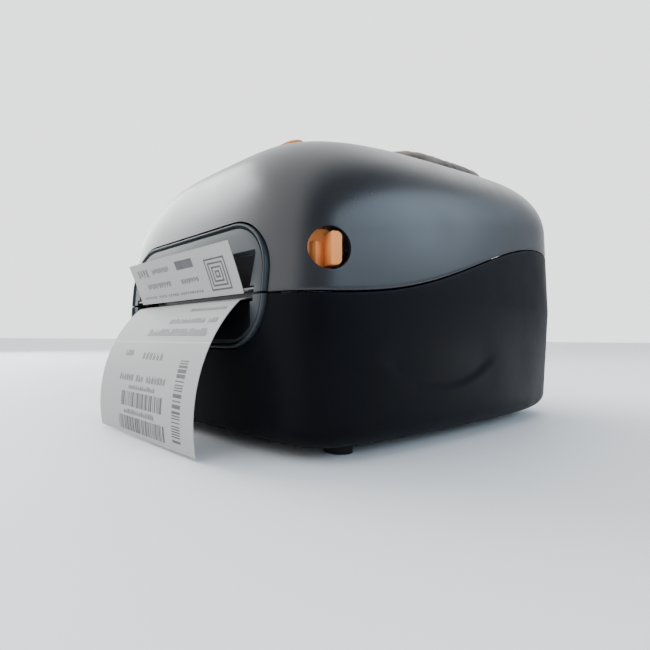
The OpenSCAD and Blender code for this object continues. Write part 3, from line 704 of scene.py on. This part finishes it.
# ---- latches ----
# Orange ABS slides, one in a round well at each front corner of the cover. A finger pushes the
# upright bar rearwards, and the hooked arm behind it lets go of the catch in the base.
orange = surface("orange_plastic", (0.85, 0.3, 0.085), 0.5, spread=0.1, slow=60, specular=0.25)
disc_edge = [(10.6 * cosd(a), 10.6 * sind(a)) for a in [65.5 + 229 * i / 48 for i in range(49)]]
disc = loft([[(x, y, z) for y, z in disc_edge] for x in (-12, -9.6)])
grip_edge = [(5.8, -5.7), (5.8, 5.7), (5.2, 6.6), (4.1, 7.5), (3.2, 7.6),
             (0.6, 7.6), (0.6, -7.6), (3.2, -7.6), (4.1, -7.5), (5.2, -6.6)]
grip = loft([[(x, y, z) for y, z in grip_edge] for x in (-10, -0.6)])
for side, label in ((1, "latch_right"), (-1, "latch_left")):
    knob = made(label + "_knob", *joined(latch_spot(disc, side), latch_spot(grip, side)))
    bevelled(knob, 0.7, 3)
    shaded(knob, 35)
    wide = sorted((74.5 * side, 83.5 * side))
    narrow = sorted((74.5 * side, 79.5 * side))
    y = front_y + latch_depth
    head = block(*wide, y - 1.4, y + 2.6, 87.5, 99.5)
    stem = block(*narrow, y - 1.4, y + 1.6, 54.1, 90.1)
    hook = block(*narrow, y - 2.2, y + 0.8, 54.1, 56.7)
    arm = made(label + "_arm", *joined(head, stem, hook))
    bevelled(arm, 0.3, 2)
    shaded(arm, 35)
    dress(knob, orange, label, "orange_plastic", label)
    dress(arm, orange, label, "orange_plastic")

# ---- feed button and lamps ----
# A long orange key on the front slope of the cover that feeds one label, beside two green
# light pipes.
button = made("feed_button_key", *button_spot(stadium(24, 12, -5, 0.4)))
bevelled(button, 0.6, 3, 50)
shaded(button, 35)
dress(button, orange, "button", "orange_plastic", "feed_button")
coat(surface("lamp_green", (0.25, 0.6, 0.3), 0.2, see_through=0.3), "led_lenses")

# ---- printed slip ----
# A short printed label that has been torn off and rests against the pocket of the upper bezel.
slip_under = [((1 - t) ** 2 * 0.7 - 5 * t * (1 - t) - 9.6 * t * t,
               (1 - t) ** 2 * 76.8 + 172 * t * (1 - t) + 101 * t * t)
              for t in [i / 16 for i in range(17)]]
slip = sheet("printed_slip_paper", slip_under, paper_thick)
dress(slip, label_paper, "cover", "label_paper", "printed_slip")
boxes = []
for grow in (0, 2.2, 4.4, 6.6):
    x0, x1, s0, s1 = 28 + grow, 45 - grow, 3 + grow, 20 - grow
    boxes += [(x0, x1, s0, s0 + 1), (x0, x1, s1 - 1, s1),
              (x0, x0 + 1, s0 + 1, s1 - 1), (x1 - 1, x1, s0 + 1, s1 - 1)]
boxes.append((1, 18, 17.5, 22.5))
for line in ((-26, -4, 18, 21, 2.0, 0.8), (-44, -30, 17, 22, 2.2, 1.2), (2, 20, 9, 12, 1.8, 0.7),
             (-40, -8, 9, 12.4, 2.0, 0.8), (-46, 20, 3, 4.6, 1.4, 0.9)):
    text_bars(*line)
slip_print = marks("slip_print", slip_under, -ink_lift, boxes)
shaded(slip_print, 50)
dress(slip_print, thermal_black, "cover", "label_paper")

# ---- print head and ribbon ----
# The head is an aluminium bar with a ceramic edge, pressed on the platen by two coil springs, and
# the ink ribbon runs under it from the supply roll to the take-up roll.
coat(surface("head_aluminium", (0.55, 0.56, 0.58), 0.35, metal=1.0, slow=150), "print_head")
coat(steel, "head_springs")
coat(nylon, "supply_core", "takeup_core", "takeup_gear", "ribbon_gear")
coat(surface("ribbon_ink", (0.012, 0.012, 0.014), 0.22, spread=0.25),
     "supply_ribbon", "takeup_ribbon", "ribbon_film")
coat(surface("cable_white", (0.5, 0.5, 0.47), 0.5, spread=0.06), "head_cable")

# ---- floor, light and camera ----
# A pale table top between two soft panels, a neutral one on the left and a cooler one on the right,
# in a room that is bright behind the table and dimmer on the viewer's side.
table_half = 30000
table_places = (-table_half, 0, table_half)
ground = made("floor", [(x, y, 0) for y in table_places for x in table_places],
              [(0, 1, 4, 3), (1, 2, 5, 4), (3, 4, 7, 6), (4, 5, 8, 7)])
ground.data.materials.append(surface("pale_table", (0.82, 0.83, 0.84), 0.6, spread=0.01, slow=3, grain=400,
                                     height=0.02, specular=0.2))


def panel(name, spot, wide, high, power, colour):
    """A soft rectangular light that faces the object."""
    aim = (0, 0, 0.12)
    light = bpy.data.lights.new(name, "AREA")
    light.shape, light.size, light.size_y = "RECTANGLE", wide, high
    light.energy, light.color = power, colour
    lamp = bpy.data.objects.new(name, light)
    lamp.location = spot
    lamp.rotation_euler = (Vector(aim) - Vector(spot)).to_track_quat("-Z", "Y").to_euler()
    lamp.visible_camera = False
    bpy.context.scene.collection.objects.link(lamp)


panel("left_panel", (-1.25, -0.25, 0.8), 1.0, 1.1, 26, (0.97, 0.99, 1.0))
panel("right_panel", (1.4, 0.6, 0.85), 2.3, 0.9, 22, (0.66, 0.83, 1.0))

world = bpy.data.worlds.new("studio")
world.use_nodes = True
nodes, links = world.node_tree.nodes, world.node_tree.links
way = nodes.new("ShaderNodeTexCoord")
toward = nodes.new("ShaderNodeVectorMath")
toward.operation = "DOT_PRODUCT"
toward.inputs[1].default_value = (-0.985, -0.17, 0)
links.new(way.outputs["Generated"], toward.inputs[0])
fade = nodes.new("ShaderNodeMapRange")
fade.inputs["From Min"].default_value = -0.36
fade.inputs["From Max"].default_value = -0.03
links.new(toward.outputs["Value"], fade.inputs["Value"])
wash = nodes.new("ShaderNodeValToRGB")
wash.color_ramp.elements[0].color = (0.13, 0.14, 0.155, 1)
wash.color_ramp.elements[1].color = (0.97, 0.985, 1.0, 1)
links.new(fade.outputs["Result"], wash.inputs["Fac"])
links.new(wash.outputs["Color"], nodes["Background"].inputs["Color"])
nodes["Background"].inputs["Strength"].default_value = 2.2
bpy.context.scene.world = world

eye = bpy.data.cameras.new("eye")
eye.lens = 24.5
eye.shift_x, eye.shift_y = 0.131, 0.013
eye.clip_start, eye.clip_end = 0.01, 100
camera = bpy.data.objects.new("eye", eye)
camera.location = (0.2156, -0.2652, 0.0548)
camera.rotation_euler = (math.radians(90.7), math.radians(-0.4), math.radians(50.6))
bpy.context.scene.collection.objects.link(camera)
bpy.context.scene.camera = camera
